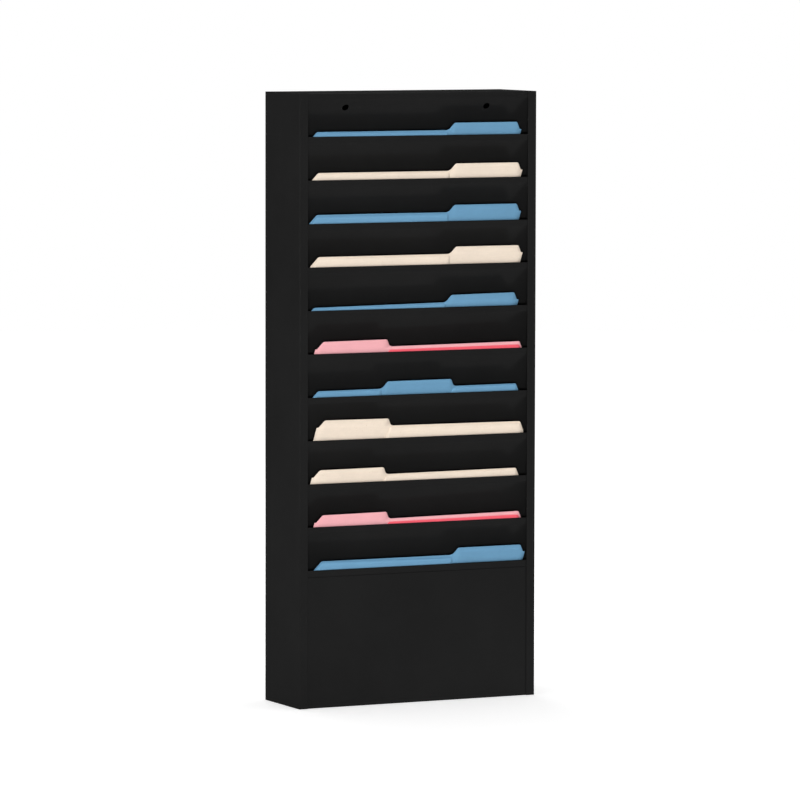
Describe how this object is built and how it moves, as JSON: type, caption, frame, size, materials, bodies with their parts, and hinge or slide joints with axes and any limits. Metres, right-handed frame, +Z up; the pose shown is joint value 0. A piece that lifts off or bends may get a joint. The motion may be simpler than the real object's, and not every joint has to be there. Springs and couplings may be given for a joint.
{
  "type": "literature rack",
  "caption": "Tall wall rack of black folded steel with a column of sloping full-width pockets above a plain front panel, each pocket holding a tabbed card folder.",
  "frame": {"origin": "middle of the rack's footprint, on the plane that it stands on", "axes": "+X to the rack's right seen from the front, +Y towards the wall, +Z up"},
  "size_m": [0.336, 0.1141, 0.7811],
  "materials": {
    "powder_coat": "satin black powder coat with a fine texture",
    "card_blue": "matt blue card",
    "card_tan": "matt manila card",
    "card_pink": "matt two-tone card, pink inside and red outside"
  },
  "bodies": {
    "rack": {"left_side_panel": "powder_coat", "right_side_panel": "powder_coat", "back_panel": "powder_coat", "header_panel": "powder_coat", "divider_01": "powder_coat", "divider_02": "powder_coat", "divider_03": "powder_coat", "divider_04": "powder_coat", "divider_05": "powder_coat", "divider_06": "powder_coat", "divider_07": "powder_coat", "divider_08": "powder_coat", "divider_09": "powder_coat", "divider_10": "powder_coat", "divider_11": "powder_coat", "bottom_front_panel": "powder_coat", "base_panel": "powder_coat"},
    "folder_01": {"file_folder_01": "card_blue"},
    "folder_02": {"file_folder_02": "card_tan"},
    "folder_03": {"file_folder_03": "card_blue"},
    "folder_04": {"file_folder_04": "card_tan"},
    "folder_05": {"file_folder_05": "card_blue"},
    "folder_06": {"file_folder_06": "card_pink"},
    "folder_07": {"file_folder_07": "card_blue"},
    "folder_08": {"file_folder_08": "card_tan"},
    "folder_09": {"file_folder_09": "card_tan"},
    "folder_10": {"file_folder_10": "card_pink"},
    "folder_11": {"file_folder_11": "card_blue"}
  },
  "joints": [
    {"name": "folder_01_slide", "type": "slide", "parent": "rack", "child": "folder_01", "axis": [0, -0.4952, 0.8688], "range_m": [0, 0.24]},
    {"name": "folder_02_slide", "type": "slide", "parent": "rack", "child": "folder_02", "axis": [0, -0.4952, 0.8688], "range_m": [0, 0.24]},
    {"name": "folder_03_slide", "type": "slide", "parent": "rack", "child": "folder_03", "axis": [0, -0.4952, 0.8688], "range_m": [0, 0.24]},
    {"name": "folder_04_slide", "type": "slide", "parent": "rack", "child": "folder_04", "axis": [0, -0.4952, 0.8688], "range_m": [0, 0.24]},
    {"name": "folder_05_slide", "type": "slide", "parent": "rack", "child": "folder_05", "axis": [0, -0.4952, 0.8688], "range_m": [0, 0.24]},
    {"name": "folder_06_slide", "type": "slide", "parent": "rack", "child": "folder_06", "axis": [0, -0.4952, 0.8688], "range_m": [0, 0.24]},
    {"name": "folder_07_slide", "type": "slide", "parent": "rack", "child": "folder_07", "axis": [0, -0.4952, 0.8688], "range_m": [0, 0.24]},
    {"name": "folder_08_slide", "type": "slide", "parent": "rack", "child": "folder_08", "axis": [0, -0.4952, 0.8688], "range_m": [0, 0.24]},
    {"name": "folder_09_slide", "type": "slide", "parent": "rack", "child": "folder_09", "axis": [0, -0.4952, 0.8688], "range_m": [0, 0.24]},
    {"name": "folder_10_slide", "type": "slide", "parent": "rack", "child": "folder_10", "axis": [0, -0.4952, 0.8688], "range_m": [0, 0.24]},
    {"name": "folder_11_slide", "type": "slide", "parent": "rack", "child": "folder_11", "axis": [0, -0.4952, 0.8688], "range_m": [0, 0.24]}
  ]
}
